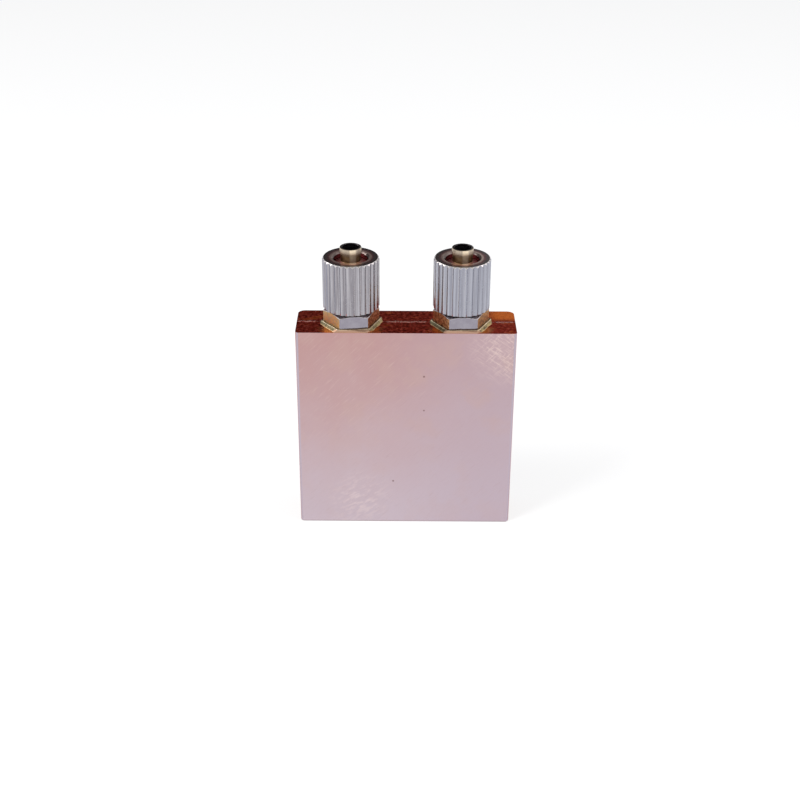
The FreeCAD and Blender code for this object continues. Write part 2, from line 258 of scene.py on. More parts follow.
def spigot_rings(port):
    """The clamping cone, the neck and the lip, and over into the bore."""
    cone_top = port.nut_top - CONE_DROP
    lip_start = port.tip - LIP_LENGTH
    return [circle(HEAD_RADIUS, cone_top - CONE_LENGTH),
            circle(NECK_RADIUS + TURNED_EDGE, cone_top),
            circle(NECK_RADIUS, cone_top + TURNED_EDGE),
            circle(NECK_RADIUS, lip_start - LIP_TAPER),
            circle(LIP_RADIUS - 0.02, lip_start - TURNED_EDGE),
            circle(LIP_RADIUS, lip_start + TURNED_EDGE),
            circle(LIP_RADIUS, port.tip - LIP_CHAMFER),
            circle(LIP_RADIUS - LIP_CHAMFER * 0.35, port.tip - LIP_CHAMFER * 0.3),
            circle(LIP_RADIUS - LIP_CHAMFER, port.tip),
            circle(BORE_RADIUS + LIP_CHAMFER, port.tip),
            circle(BORE_RADIUS, port.tip - LIP_CHAMFER)]


def fitting_mesh(port):
    """A turned compression fitting: shank, hexagon, thread, cone and spigot in one."""
    rings = [*shank_rings(port), *hexagon_rings(port), *fitting_thread_rings(),
             *spigot_rings(port)]
    return ring_mesh(f"{port.name}_fitting_turned", rings, TURNED_FACETS,
                     (port.x, 0.0, TOP))


def fluted(radius, depths):
    """The radius of a fluted outside, as a function of the angle."""
    pitch = TURN / FLUTES
    half = FLUTE_WIDTH / 2

    def outside(angle):
        shifted = angle - TURN / 4
        number = round(shifted / pitch)
        off = shifted - number * pitch
        depth = depths[number % FLUTES]
        arc = (half * half + depth * depth) / (2 * depth)
        centre = radius + arc - depth
        inside = arc * arc - (centre * math.sin(off)) ** 2
        if inside <= 0:
            return radius
        return min(radius, centre * math.cos(off) - math.sqrt(inside))
    return outside


def nut_outside_rings(radius, height, outside):
    """The knurl from its lower edge to the chamfered rim of the top."""
    def side(level, limit):
        return lambda angle: (min(outside(angle), limit), level)

    rings = [side(0.0, radius - 0.05), side(0.05, radius)]
    rings += [side(level, radius) for level in spaced(0.05, height - NUT_EDGE - 0.06, 3)[1:]]
    for level in spaced(height - NUT_EDGE - 0.05, height, 8):
        rings.append(side(level, radius - NUT_EDGE + height - level))
    return rings + [circle(radius - NUT_EDGE - 0.05, height)]


def nut_inside_rings(height):
    """The hose hole, the inner cone and the thread, down to its lead."""
    hole_end = NUT_THREAD_DEPTH + NUT_CONE_LENGTH
    levels = spaced(NUT_THREAD_DEPTH, NUT_LEAD, NUT_THREAD_RINGS)[1:-1]
    return [circle(NUT_HOLE + NUT_MOUTH + 0.03, height),
            circle(NUT_HOLE + NUT_MOUTH - 0.02, height - 0.03),
            circle(NUT_HOLE, height - NUT_MOUTH),
            circle(NUT_HOLE, hole_end),
            circle(NUT_BORE, NUT_THREAD_DEPTH),
            *[thread_ring(level, NUT_LEAD, NUT_THREAD_DEPTH, True) for level in levels],
            circle(NUT_BORE, NUT_LEAD),
            circle(NUT_BORE + NUT_LEAD, 0.0)]


def nut_mesh(port):
    """A knurled nut: round-bottomed flutes, a chamfered rim, a cone and a thread inside."""
    draw = random.Random(port.seed)
    depths = [FLUTE_DEPTH * draw.uniform(0.88, 1.0) for _ in range(FLUTES)]
    height = port.nut_top - port.nut_base
    rings = nut_outside_rings(port.nut_radius, height, fluted(port.nut_radius, depths))
    rings += nut_inside_rings(height)
    return ring_mesh(f"{port.name}_nut_knurled", rings, FLUTES * FACETS_A_FLUTE,
                     (port.x, 0.0, TOP + port.nut_base), 28.0)


def fillet_mesh(port):
    """A collar of braze round a hexagon's foot: a level shoulder and an uneven slope."""
    room = REAR - 0.05

    def waver(angle, height, size):
        spot = Vector((math.cos(angle) * 2.2, math.sin(angle) * 2.2, height + port.seed))
        return size * noise.noise(spot * 2.1) + 0.5 * size * noise.noise(spot * 6.3)

    def ring(share, inset=0.0):
        """share runs from 0 at the copper to 1 at the edge of the shoulder."""
        def at(angle):
            reach = FILLET_REACH - 0.12 + waver(angle, 0.0, 0.14)
            shoulder = FILLET_SHOULDER + waver(angle, 9.0, 0.04)
            out = shoulder + (reach - shoulder) * (1.0 - share) - inset
            rise = (FILLET_HEIGHT - 0.05 + waver(angle, 5.0, 0.05)) * share ** 0.9
            radius = hexagon_radius(angle, port.turn, HEX_HALF + out)
            radius = min(radius, FILLET_ROUND - 0.15 * share + waver(angle, 3.0, 0.08))
            limit = room / max(abs(math.sin(angle)), 1e-6)
            return min(radius, limit), max(0.0, rise)
        return at

    def at_hexagon(height_share, out):
        def at(angle):
            height = ring(1.0)(angle)[1]
            return hexagon_radius(angle, port.turn, HEX_HALF + out), height * height_share
        return at

    rings = [at_hexagon(0.0, -0.04)]
    rings += [ring(share) for share in spaced(0.0, 0.9, 6)]
    rings += [ring(1.0, 0.02), at_hexagon(0.97, 0.12), at_hexagon(0.99, 0.02),
              at_hexagon(0.99, -0.04)]
    return ring_mesh(f"{port.name}_fillet_braze", rings, COLLAR_FACETS,
                     (port.x, 0.0, TOP), 50.0)


def film_mesh():
    """The braze film between the halves, open at the channels and at both ports.

    It stops short of the sides and bottom by the rounding of the copper's edges.
    """
    leg_in, leg_out = PARTITION / 2, HALF_WIDTH - SIDE_WALL
    bores = [port.x + side for port in PORTS for side in (-PORT_RADIUS, PORT_RADIUS)]
    edge = HALF_WIDTH - EDGE_ROUNDING
    across = [-edge, -leg_out, *bores[:2], -leg_in, leg_in, *bores[2:], leg_out, edge]
    legs_top = TOP - PORT_DEPTH
    levels = [EDGE_ROUNDING, SIDE_WALL, SIDE_WALL + MANIFOLD, legs_top, TOP]

    def filled(column, row):
        if not (0 <= column < len(across) - 1 and 0 <= row < len(levels) - 1):
            return False
        x = (across[column] + across[column + 1]) / 2
        z = (levels[row] + levels[row + 1]) / 2
        if z > legs_top:
            return all(abs(x - port.x) > PORT_RADIUS for port in PORTS)
        return z < SIDE_WALL or abs(x) > leg_out or (abs(x) < leg_in and z > levels[2])

    layer = len(across) * len(levels)
    points = [(x, y, z) for y in (-FILM / 2, FILM / 2) for z in levels for x in across]
    faces = []
    for row in range(len(levels) - 1):
        for column in range(len(across) - 1):
            if not filled(column, row):
                continue
            low = row * len(across) + column
            corners = [low, low + 1, low + 1 + len(across), low + len(across)]
            faces.append(corners)
            faces.append([layer + corner for corner in reversed(corners)])
            for side, (right, up) in enumerate(((0, -1), (1, 0), (0, 1), (-1, 0))):
                if not filled(column + right, row + up):
                    first, second = corners[side], corners[(side + 1) % 4]
                    faces.append([second, first, layer + first, layer + second])
    used = sorted({corner for face in faces for corner in face})
    place = {corner: index for index, corner in enumerate(used)}
    return mesh_object("braze_film", [points[corner] for corner in used],
                       [[place[corner] for corner in face] for face in faces])


def sleeve_mesh(port):
    """The braze round a fitting's shank, down its port."""
    rings = [circle(SHANK_RADIUS, port.shank_end), circle(PORT_RADIUS, port.shank_end),
             circle(PORT_RADIUS, 0.0), circle(SHANK_RADIUS, 0.0)]
    return ring_mesh(f"{port.name}_braze_sleeve", rings, TURNED_FACETS,
                     (port.x, 0.0, TOP))


def bead_section(x, end_share):
    """The bead's points at one place along X: a lumpy arch, and one point below it."""
    coarse = noise.noise(Vector((x * 0.9, 3.0, 0.0)))
    fine = noise.noise(Vector((x * 3.7, 9.0, 0.0)))
    half = BEAD_HALF_WIDTH * (0.74 + 0.45 * coarse + 0.45 * fine) * end_share
    half = max(0.08, min(half, BEAD_HALF_WIDTH * 1.2))
    rise = BEAD_HEIGHT * (0.85 + 0.5 * fine + 0.35 * coarse) * end_share
    rise = max(0.03, min(rise, BEAD_HEIGHT * 1.4))
    drift = 0.12 * noise.noise(Vector((x * 1.3, 0.0, 7.0)))
    points = []
    for corner in range(BEAD_FACETS + 1):
        turn = math.pi * corner / BEAD_FACETS
        lump = 1.0 + 0.5 * noise.noise(Vector((x * 5.0, turn * 2.0, 2.0)))
        points.append((x, drift + half * math.cos(turn), TOP + rise * math.sin(turn) * lump))
    return points + [(x, drift, TOP - 0.02)]


def bead_mesh():
    """The ragged bead of braze that stands along the seam in the top edge."""
    foot = (HEX_HALF + FILLET_REACH) * 1.1547 + 0.02
    left, right = -HALF_WIDTH + 0.3, HALF_WIDTH - 0.3
    spans = [(left, PORTS[0].x - foot), (PORTS[0].x + foot, PORTS[1].x - foot),
             (PORTS[1].x + foot, right)]
    row = BEAD_FACETS + 2
    points, faces = [], []
    for start, end in spans:
        count = max(2, round((end - start) / BEAD_STEP))
        base = len(points)
        for index, x in enumerate(spaced(start, end, count)):
            end_share = min(1.0, 0.3 + index * 0.2, 0.3 + (count - index) * 0.2)
            points += bead_section(x, end_share)
        for index in range(count):
            here = base + index * row
            there = here + row
            for corner in range(row):
                beside = (corner + 1) % row
                faces.append((here + corner, here + beside, there + beside, there + corner))
        faces.append(tuple(base + corner for corner in reversed(range(row))))
        last = base + count * row
        faces.append(tuple(last + corner for corner in range(row)))
    return mesh_object("braze_bead", points, faces, 60.0)


# ---------------------------------------------------------------- materials

def node(tree, kind, inputs=None, **settings):
    """Adds a shader node. An input is a plain value, or another node's output."""
    made = tree.nodes.new(f"ShaderNode{kind}")
    for name, value in settings.items():
        setattr(made, name, value)
    for name, value in (inputs or {}).items():
        if isinstance(value, bpy.types.NodeSocket):
            tree.links.new(value, made.inputs[name])
        else:
            made.inputs[name].default_value = value
    return made


class Surface:
    """A node material of one metal, built from patterns in the part's own millimetres."""

    def __init__(self, name):
        self.material = bpy.data.materials.new(name)
        self.material.use_nodes = True
        self.tree = self.material.node_tree
        self.shader = self.tree.nodes["Principled BSDF"]
        self.shader.inputs["Metallic"].default_value = 1.0
        place = node(self.tree, "TexCoord")
        scaled = node(self.tree, "VectorMath", {0: place.outputs["Object"]},
                      operation="SCALE")
        scaled.inputs["Scale"].default_value = 1.0 / MM
        self.place = scaled.outputs["Vector"]
        self.normal = place.outputs["Normal"]
        self.axes = self.split(self.place)
        self.faces = self.split(self.normal)

    def split(self, vector):
        parts = node(self.tree, "SeparateXYZ", {"Vector": vector})
        return [parts.outputs[name] for name in "XYZ"]

    def math(self, operation, first, second=0.0):
        made = node(self.tree, "Math", {0: first, 1: second}, operation=operation)
        return made.outputs["Value"]

    def ramp(self, value, low, high, bottom=0.0, top=1.0):
        """value carried from low..high to bottom..top, and held at both ends."""
        made = node(self.tree, "MapRange", {"Value": value, "From Min": low, "From Max": high,
                                            "To Min": bottom, "To Max": top},
                    interpolation_type="SMOOTHSTEP")
        return made.outputs["Result"]

    def noise(self, scale, detail=3.0, stretch=(1.0, 1.0, 1.0), turn=(0.0, 0.0, 0.0),
              distortion=0.0, roughness=0.55):
        """Noise of so many waves a millimetre, stretched along turned axes."""
        turned = node(self.tree, "VectorRotate", {"Vector": self.place, "Rotation": turn},
                      rotation_type="EULER_XYZ")
        mapping = node(self.tree, "Mapping", {"Vector": turned.outputs["Vector"],
                                              "Scale": stretch})
        made = node(self.tree, "TexNoise",
                    {"Vector": mapping.outputs["Vector"], "Scale": scale, "Detail": detail,
                     "Roughness": roughness, "Distortion": distortion})
        return made.outputs["Fac"]

    def blend(self, share, first, second):
        """Mixes two colours, each a colour or an output."""
        made = node(self.tree, "Mix", data_type="RGBA")
        made.clamp_factor = True
        for socket, value in ((0, share), (6, first), (7, second)):
            if isinstance(value, bpy.types.NodeSocket):
                self.tree.links.new(value, made.inputs[socket])
            elif socket:
                made.inputs[socket].default_value = (*value, 1.0)
            else:
                made.inputs[socket].default_value = value
        return made.outputs[2]

    def near(self, spot, radius, soft):
        """1 within a radius of a spot in the part, falling to 0 over a soft edge."""
        away = node(self.tree, "VectorMath", {0: self.place, 1: spot}, operation="DISTANCE")
        return self.ramp(away.outputs["Value"], radius, radius + soft, 1.0, 0.0)

    def foot_x(self):
        """Where the piece's own axis stands along X."""
        foot = node(self.tree, "ObjectInfo").outputs["Location"]
        return self.math("DIVIDE", self.split(foot)[0], MM)

    def from_axis(self):
        """Distance from the piece's own upright axis."""
        across = self.math("MULTIPLY", self.axes[0], self.axes[0])
        along = self.math("MULTIPLY", self.axes[1], self.axes[1])
        return self.math("SQRT", self.math("ADD", across, along))

    def bump(self, heights):
        """Stacks (height, depth in millimetres) pairs into one bump."""
        under = None
        for height, depth in heights:
            made = node(self.tree, "Bump", {"Height": height, "Distance": depth * MM,
                                            "Strength": 1.0})
            if under:
                self.tree.links.new(under, made.inputs["Normal"])
            under = made.outputs["Normal"]
        self.tree.links.new(under, self.shader.inputs["Normal"])

    def finish(self, colour, roughness):
        for name, value in (("Base Color", colour), ("Roughness", roughness)):
            if isinstance(value, bpy.types.NodeSocket):
                self.tree.links.new(value, self.shader.inputs[name])
            else:
                self.shader.inputs[name].default_value = value
        return self.material


# Colours of the sanded faces and of the stained edges; the lilacs are painted reflections on the
# faces and their rounded edges, and painted shade underneath
FRESNEL_TINT = (1.0, 0.62, 0.58, 1.0)
SALMON = (0.522, 0.315, 0.305)
LILAC = (0.572, 0.480, 0.535)
COOL_LILAC = (0.485, 0.385, 0.445)
WARM_PINK = (0.560, 0.385, 0.350)
SCUFFED_PINK = (0.68, 0.52, 0.50)
DULL_PINK = (0.42, 0.28, 0.29)
CORNER_PINK = (0.60, 0.44, 0.44)
SCRATCHED_PINK = (0.80, 0.64, 0.59)
SMUDGED_PINK = (0.74, 0.61, 0.61)
PIT_BROWN = (0.16, 0.09, 0.08)
ROUNDED_SHEEN_LILAC = (0.50, 0.43, 0.50)
SHADED_UNDERSIDE_LILAC = (0.27, 0.22, 0.26)
DEEP_RED = (0.12, 0.003, 0.002)
OXIDE_RED = (0.50, 0.045, 0.024)
BRIGHT_RED = (1.00, 0.24, 0.18)
END_RED = (0.16, 0.010, 0.006)
HEAT_ORANGE = (1.0, 0.27, 0.050)
PORT_OCHRE = (0.66, 0.33, 0.14)
ROUNDED_BROWN = (0.30, 0.19, 0.16)
BRUSHED_COPPER = (0.46, 0.24, 0.18)
BRIGHT_COPPER = (0.55, 0.31, 0.24)
HEATED_COPPER = (0.50, 0.14, 0.07)

# Three pits in the polished face, each a place and a radius
PITS = (((3.33, FRONT, 31.3), 0.10), ((3.4, FRONT, 24.3), 0.07), ((-2.25, FRONT, 9.15), 0.09))


def copper_material():
    """Sanded pink faces, and edges stained red-brown and orange by the brazing heat."""
    s = Surface("copper_sanded_and_stained")
    s.shader.inputs["Specular Tint"].default_value = FRESNEL_TINT
    front = s.math("ABSOLUTE", s.faces[1])
    side = s.math("ABSOLUTE", s.faces[0])
    upward = s.ramp(s.faces[2], 0.20, 0.45)
    face = s.math("MULTIPLY", s.ramp(front, 0.10, 0.45), s.ramp(upward, 0.0, 1.0, 1.0, 0.0))
    scratch = s.noise(1.0, 5.0, (0.30, 1.0, 5.0), (0.0, math.radians(45), 0.0))
    second = s.noise(1.0, 5.0, (0.30, 1.0, 6.0), (0.0, math.radians(-28), 0.0))
    pink = face_colour(s, scratch)
    # Painted reflection: the rounded edges between the faces and the sides are painted pale
    # lilac, as if they mirrored the light beside the block
    wear_and_sheen = s.math("MULTIPLY", s.ramp(front, 0.30, 0.75), s.ramp(front, 0.93, 0.995, 1.0, 0.0))
    pink = s.blend(wear_and_sheen, pink, ROUNDED_SHEEN_LILAC)
    # Painted shade: faces turned down, such as the bottom chamfer, are painted a darker lilac
    low = s.ramp(s.faces[2], -0.55, -0.30, 1.0, 0.0)
    pink = s.blend(low, pink, SHADED_UNDERSIDE_LILAC)
    stain = s.noise(0.33, 6.0, (0.7, 1.5, 1.0), distortion=0.6)
    mottle = s.noise(1.7, 6.0, roughness=0.7)
    edge = edge_colour(s, stain, mottle, upward)
    rounded = s.math("MULTIPLY", s.ramp(side, 0.15, 0.45), upward)
    edge = s.blend(rounded, edge, ROUNDED_BROWN)
    colour = s.blend(face, edge, pink)
    rough_face = s.ramp(scratch, 0.3, 0.7, 0.34, 0.46)
    rough_edge = s.ramp(stain, 0.3, 0.7, 0.16, 0.30)
    mixed = node(s.tree, "Mix", {0: face, 2: rough_edge, 3: rough_face})
    grain = s.noise(6.0, 3.0)
    s.bump([(scratch, 0.010), (second, 0.003), (grain, 0.002)])
    return s.finish(colour, mixed.outputs[0])


def face_tone_and_painted_reflection(s):
    """The tone: salmon at the top, paler and cooler lower down and to the right, which is a
    painted reflection of bluish-white light, with random cloudy and warm patches.
    """
    x, _, z = s.axes
    drift = s.math("SUBTRACT", s.math("MULTIPLY", x, 0.15), z)
    cloud = s.noise(0.09, 4.0)
    drift = s.math("ADD", drift, s.math("MULTIPLY", s.math("SUBTRACT", cloud, 0.5), 16.0))
    # Painted reflection: salmon turns to lilac lower down and to the right, as if bluish-white
    # light were mirrored there
    pink = s.blend(s.ramp(drift, -44.0, 2.0), SALMON, LILAC)
    cool = s.math("MULTIPLY", s.ramp(x, -10.0, 18.0), 0.6)
    pink = s.blend(cool, pink, COOL_LILAC)
    warm = s.ramp(s.noise(0.16, 3.0), 0.48, 0.66)
    warm = s.math("MULTIPLY", warm, s.ramp(z, 12.0, 30.0, 0.12, 0.35))
    return s.blend(warm, pink, WARM_PINK)


def face_colour(s, scratch):
    """The sanded faces: the tone, scuffs, a hatched corner, a smudge and three pits."""
    upper = s.near((-16.0, FRONT, 33.0), 4.0, 24.0)
    scuffs = s.math("MULTIPLY", s.ramp(scratch, 0.54, 0.70), s.ramp(upper, 0.0, 1.0, 0.35, 1.0))
    pink = s.blend(s.math("MULTIPLY", scuffs, 0.42), face_tone_and_painted_reflection(s), SCUFFED_PINK)
    dull = s.math("MULTIPLY", s.ramp(scratch, 0.46, 0.32), 0.22)
    pink = s.blend(dull, pink, DULL_PINK)
    corner = s.near((19.5, FRONT, 37.5), 2.0, 8.0)
    hatch = s.noise(1.9, 4.0, (0.30, 1.0, 4.0), (0.0, math.radians(-35), 0.0))
    cross = s.noise(1.7, 4.0, (0.35, 1.0, 4.0), (0.0, math.radians(48), 0.0))
    lines = s.math("MAXIMUM", s.ramp(hatch, 0.53, 0.64), s.ramp(cross, 0.55, 0.66))
    fan = s.math("MULTIPLY", lines, corner)
    pink = s.blend(s.math("MULTIPLY", corner, 0.3), pink, CORNER_PINK)
    pink = s.blend(s.math("MULTIPLY", fan, 0.7), pink, SCRATCHED_PINK)
    scrape = s.noise(1.5, 5.0, (0.5, 1.0, 1.5), (0.0, math.radians(30), 0.0))
    smudge = s.math("MULTIPLY", s.near((-8.5, FRONT, 5.0), 0.5, 7.5),
                    s.ramp(scrape, 0.44, 0.66))
    pink = s.blend(s.math("MULTIPLY", smudge, 0.5), pink, SMUDGED_PINK)
    for spot, radius in PITS:
        pit = s.near(spot, radius, 0.16)
        pink = s.blend(s.math("MULTIPLY", pit, 0.75), pink, PIT_BROWN)
    return pink


def edge_colour(s, stain, mottle, upward):
    """The block's edges: the top stained by the brazing heat, the others plain copper."""
    x, y, z = s.axes
    red = s.blend(s.ramp(mottle, 0.39, 0.51), DEEP_RED, OXIDE_RED)
    red = s.blend(s.ramp(mottle, 0.51, 0.64), red, BRIGHT_RED)
    red = s.blend(s.ramp(x, 13.0, 16.0, 0.0, 0.55), red, END_RED)
    hot = s.math("MULTIPLY", s.ramp(stain, 0.55, 0.68), 0.45)
    end = s.math("MULTIPLY", s.ramp(x, 14.0, 17.0), s.ramp(y, 0.2, 2.2))
    end = s.math("MULTIPLY", end, s.ramp(mottle, 0.30, 0.50, 0.5, 1.0))
    hot = s.math("MAXIMUM", hot, end)
    stained = s.blend(hot, red, HEAT_ORANGE)
    for port in PORTS:
        ring = s.near((port.x, -1.4, TOP), 5.0, 1.6)
        wide = s.math("MULTIPLY", ring, s.ramp(y, -1.6, -3.4))
        stained = s.blend(s.math("MULTIPLY", wide, 0.8), stained, PORT_OCHRE)
    brushed = s.noise(1.2, 4.0, (3.0, 3.0, 0.12))
    plain = s.blend(s.ramp(brushed, 0.3, 0.7), BRUSHED_COPPER, BRIGHT_COPPER)
    depth = s.math("ADD", z, s.math("MULTIPLY", stain, 6.0))
    warmed = s.ramp(depth, 38.0, 43.0, 0.0, 0.5)
    plain = s.blend(warmed, plain, HEATED_COPPER)
    return s.blend(upward, plain, stained)


# Colours of the fittings: plate, flanks with painted reflections, painted light on faces turned
# up, thread, painted shade and reflections at the cone, tip and bore, and the turned spigot with
# a painted glint
PLATE = (0.285, 0.265, 0.310)
PLATE_PALE = (0.335, 0.315, 0.360)
PLATE_WARM = (0.42, 0.37, 0.32)
LIT_UPWARD_PLATE = (0.60, 0.56, 0.58)
FLANK_BROWN = (0.28, 0.125, 0.052)
FLANK_TAN = (0.62, 0.36, 0.185)
FLANK_OLIVE = (0.46, 0.40, 0.26)
FLANK_GOLD = (0.62, 0.46, 0.20)
THREAD_NICKEL = (0.50, 0.46, 0.42)
SHADED_CONE_RED = (0.28, 0.11, 0.10)
RIM_DARK_REFLECTION = (0.07, 0.06, 0.06)
BORE_SHADE = (0.04, 0.035, 0.04)
WORN_BRASS = (0.56, 0.47, 0.36)
DULL_BRASS = (0.40, 0.32, 0.26)
LOW_BROWN_BRASS = (0.42, 0.24, 0.11)
GOLDEN_BRASS = (0.62, 0.42, 0.22)
GLINT_HIGHLIGHT = (0.98, 0.82, 0.60)
SPIGOT_SHADE = (0.16, 0.07, 0.03)


def hexagon_colour(s, cloud, grain, flank):
    """The hexagon: grey plate in front, and flanks painted with reflections, brown and tan, that
    turn golden on the outside.
    """
    speck = s.noise(2.2, 4.0)
    plate = s.blend(s.ramp(cloud, 0.35, 0.7), PLATE, PLATE_PALE)
    plate = s.blend(s.ramp(grain, 0.58, 0.75, 0.0, 0.25), plate, PLATE_WARM)
    # Painted reflections: the flanks are painted brown and tan, as if they mirrored the copper
    # and the other fitting, and golden on the outer side
    outer = s.math("MULTIPLY", s.foot_x(), s.faces[0])
    outer_reflection = s.math("MULTIPLY", s.ramp(outer, 4.0, 6.0),
                  s.ramp(s.faces[0], 0.5, -0.5, 0.45, 1.0))
    flank_reflection = s.blend(s.ramp(speck, 0.42, 0.58), FLANK_BROWN, FLANK_TAN)
    ochre = s.blend(s.ramp(speck, 0.38, 0.62), FLANK_OLIVE, FLANK_GOLD)
    flank_reflection = s.blend(outer_reflection, flank_reflection, ochre)
    plate = s.blend(flank, plate, flank_reflection)
    # Painted light: faces turned up, such as the hexagon's top, are painted pale
    upward = s.ramp(s.faces[2], 0.10, 0.30)
    return s.blend(upward, plate, LIT_UPWARD_PLATE)


def nickel_fitting_material():
    """Plate on the hexagon and thread, and brass showing through it on the spigot."""
    s = Surface("nickel_plate")
    z = s.axes[2]
    cloud = s.noise(0.8, 4.0)
    grain = s.noise(3.0, 4.0, (6.0, 6.0, 0.5))
    flank = s.ramp(s.math("ABSOLUTE", s.faces[0]), 0.45, 0.65)
    above = s.ramp(z, HEX_HEIGHT + 0.1, HEX_HEIGHT + 0.3)
    colour = s.blend(above, hexagon_colour(s, cloud, grain, flank),
                     spigot_colour(s, cloud, grain))
    threaded = s.math("MULTIPLY", above, s.ramp(z, 11.6, 11.3))
    colour = s.blend(threaded, colour, THREAD_NICKEL)
    # Painted shade: the cone inside the nut's mouth is painted dark red-brown
    throat_shade = s.math("MULTIPLY", s.ramp(s.from_axis(), 1.83, 1.88), s.ramp(z, 12.5, 12.3))
    throat_shade = s.math("MULTIPLY", throat_shade, s.ramp(z, 11.3, 11.6))
    colour = s.blend(throat_shade, colour, SHADED_CONE_RED)
    # Painted reflection: the level ring at the spigot's tip is painted near black, as if it
    # mirrored a dark surround
    rim = s.math("MULTIPLY", s.ramp(s.faces[2], 0.75, 0.95), s.ramp(z, 14.3, 14.5))
    colour = s.blend(rim, colour, RIM_DARK_REFLECTION)
    # Painted shade: deep in the spigot's bore is painted near black
    bore_shade_mask = s.math("MULTIPLY", s.ramp(s.from_axis(), 1.60, 1.64, 1.0, 0.0), s.ramp(z, 5.0, 6.0))
    colour = s.blend(bore_shade_mask, colour, BORE_SHADE)
    s.bump([(grain, 0.0015), (cloud, 0.004)])
    dull = s.math("MULTIPLY", flank, s.ramp(above, 0.0, 1.0, 0.32, 0.0))
    soft = s.math("MULTIPLY", above, s.ramp(z, 14.25, 14.4, 0.24, 0.0))
    rough = s.math("ADD", s.math("MAXIMUM", dull, soft), s.ramp(cloud, 0.3, 0.7, 0.17, 0.26))
    return s.finish(colour, rough)


def spigot_colour(s, cloud, grain):
    """The turned spigot: browner low down and champagne above, with a bright painted glint down
    its front and painted shade at its sides low down.
    """
    x, y, z = s.axes
    wear_and_sheen = s.blend(s.ramp(grain, 0.35, 0.7), WORN_BRASS, DULL_BRASS)
    brown = s.blend(s.ramp(cloud, 0.4, 0.65), LOW_BROWN_BRASS, GOLDEN_BRASS)
    spigot = s.blend(s.ramp(z, 12.9, 14.0), brown, wear_and_sheen)
    # Painted highlight: a bright champagne glint down the spigot's front
    from_glint = s.math("ABSOLUTE", s.math("SUBTRACT", x, 0.45))
    sheen_streak = s.math("MULTIPLY", s.ramp(from_glint, 0.75, 0.35), s.ramp(y, 0.0, -0.8))
    spigot = s.blend(s.math("MULTIPLY", sheen_streak, 0.85), spigot, GLINT_HIGHLIGHT)
    shade = s.math("MULTIPLY", s.ramp(s.math("ABSOLUTE", x), 1.25, 1.65), s.ramp(z, 13.9, 13.2))
    return s.blend(s.math("MULTIPLY", shade, 0.75), spigot, SPIGOT_SHADE)


# Colours of the nuts: plate streaked by painted reflections, painted light and blue reflections
# on the flanks, painted shade in the grooves and mouth, painted highlights at the rim and mouth,
# and a painted dark reflection on the top
NUT_GREY = (0.260, 0.245, 0.270)
NUT_PALE = (0.440, 0.425, 0.455)
NUT_SHEEN_STREAK = (0.58, 0.56, 0.58)
LIT_OUTLET_BLUE = (0.37, 0.40, 0.49)
INLET_BLUE_REFLECTION = (0.245, 0.270, 0.380)
LIT_INNER_FLANK = (0.62, 0.60, 0.62)
GROOVE_SHADE = (0.12, 0.10, 0.11)
RIM_HIGHLIGHT = (0.80, 0.76, 0.76)
TOP_DARK_REFLECTION = (0.105, 0.085, 0.090)
TOP_RED_REFLECTION = (0.26, 0.085, 0.095)
MOUTH_SHADE_BROWN = (0.22, 0.17, 0.16)
MOUTH_HIGHLIGHT = (0.80, 0.66, 0.58)


